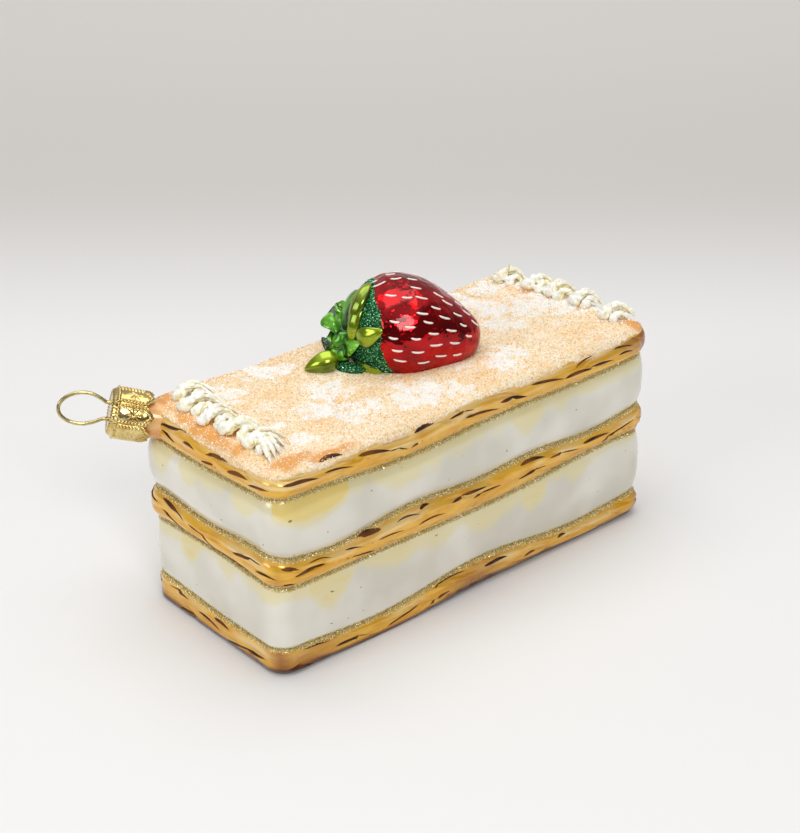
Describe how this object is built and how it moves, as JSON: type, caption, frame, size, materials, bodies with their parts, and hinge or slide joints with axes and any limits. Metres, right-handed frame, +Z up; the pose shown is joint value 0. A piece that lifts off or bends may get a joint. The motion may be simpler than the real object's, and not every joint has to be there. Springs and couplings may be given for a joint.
{
  "type": "blown glass christmas ornament shaped as a mille feuille slice",
  "caption": "Painted blown-glass tree ornament shaped as a layered cream pastry slice with a strawberry, with a metal cap and a wire loop to hang it by.",
  "frame": {"origin": "centre of the flat underside the ornament rests on", "axes": "+X along the slice away from the cap, -Y is the long side that faces the viewer, +Z up"},
  "size_m": [0.1317, 0.0578, 0.0702],
  "materials": {
    "painted_glass": "gloss",
    "gold_cap": "gloss",
    "gold_wire": "gloss",
    "pastry_lacquer": "gloss",
    "cream_lacquer": "gloss",
    "sugar_glitter": "gloss",
    "gold_glitter": "gloss",
    "green_glitter": "gloss",
    "berry_lacquer": "gloss",
    "leaf_lacquer": "gloss",
    "white_enamel": "gloss",
    "brown_enamel": "gloss"
  },
  "bodies": {
    "root": {"glass_body": "painted_glass", "cap": "gold_cap", "hanger_loop": "gold_wire"}
  },
  "joints": []
}
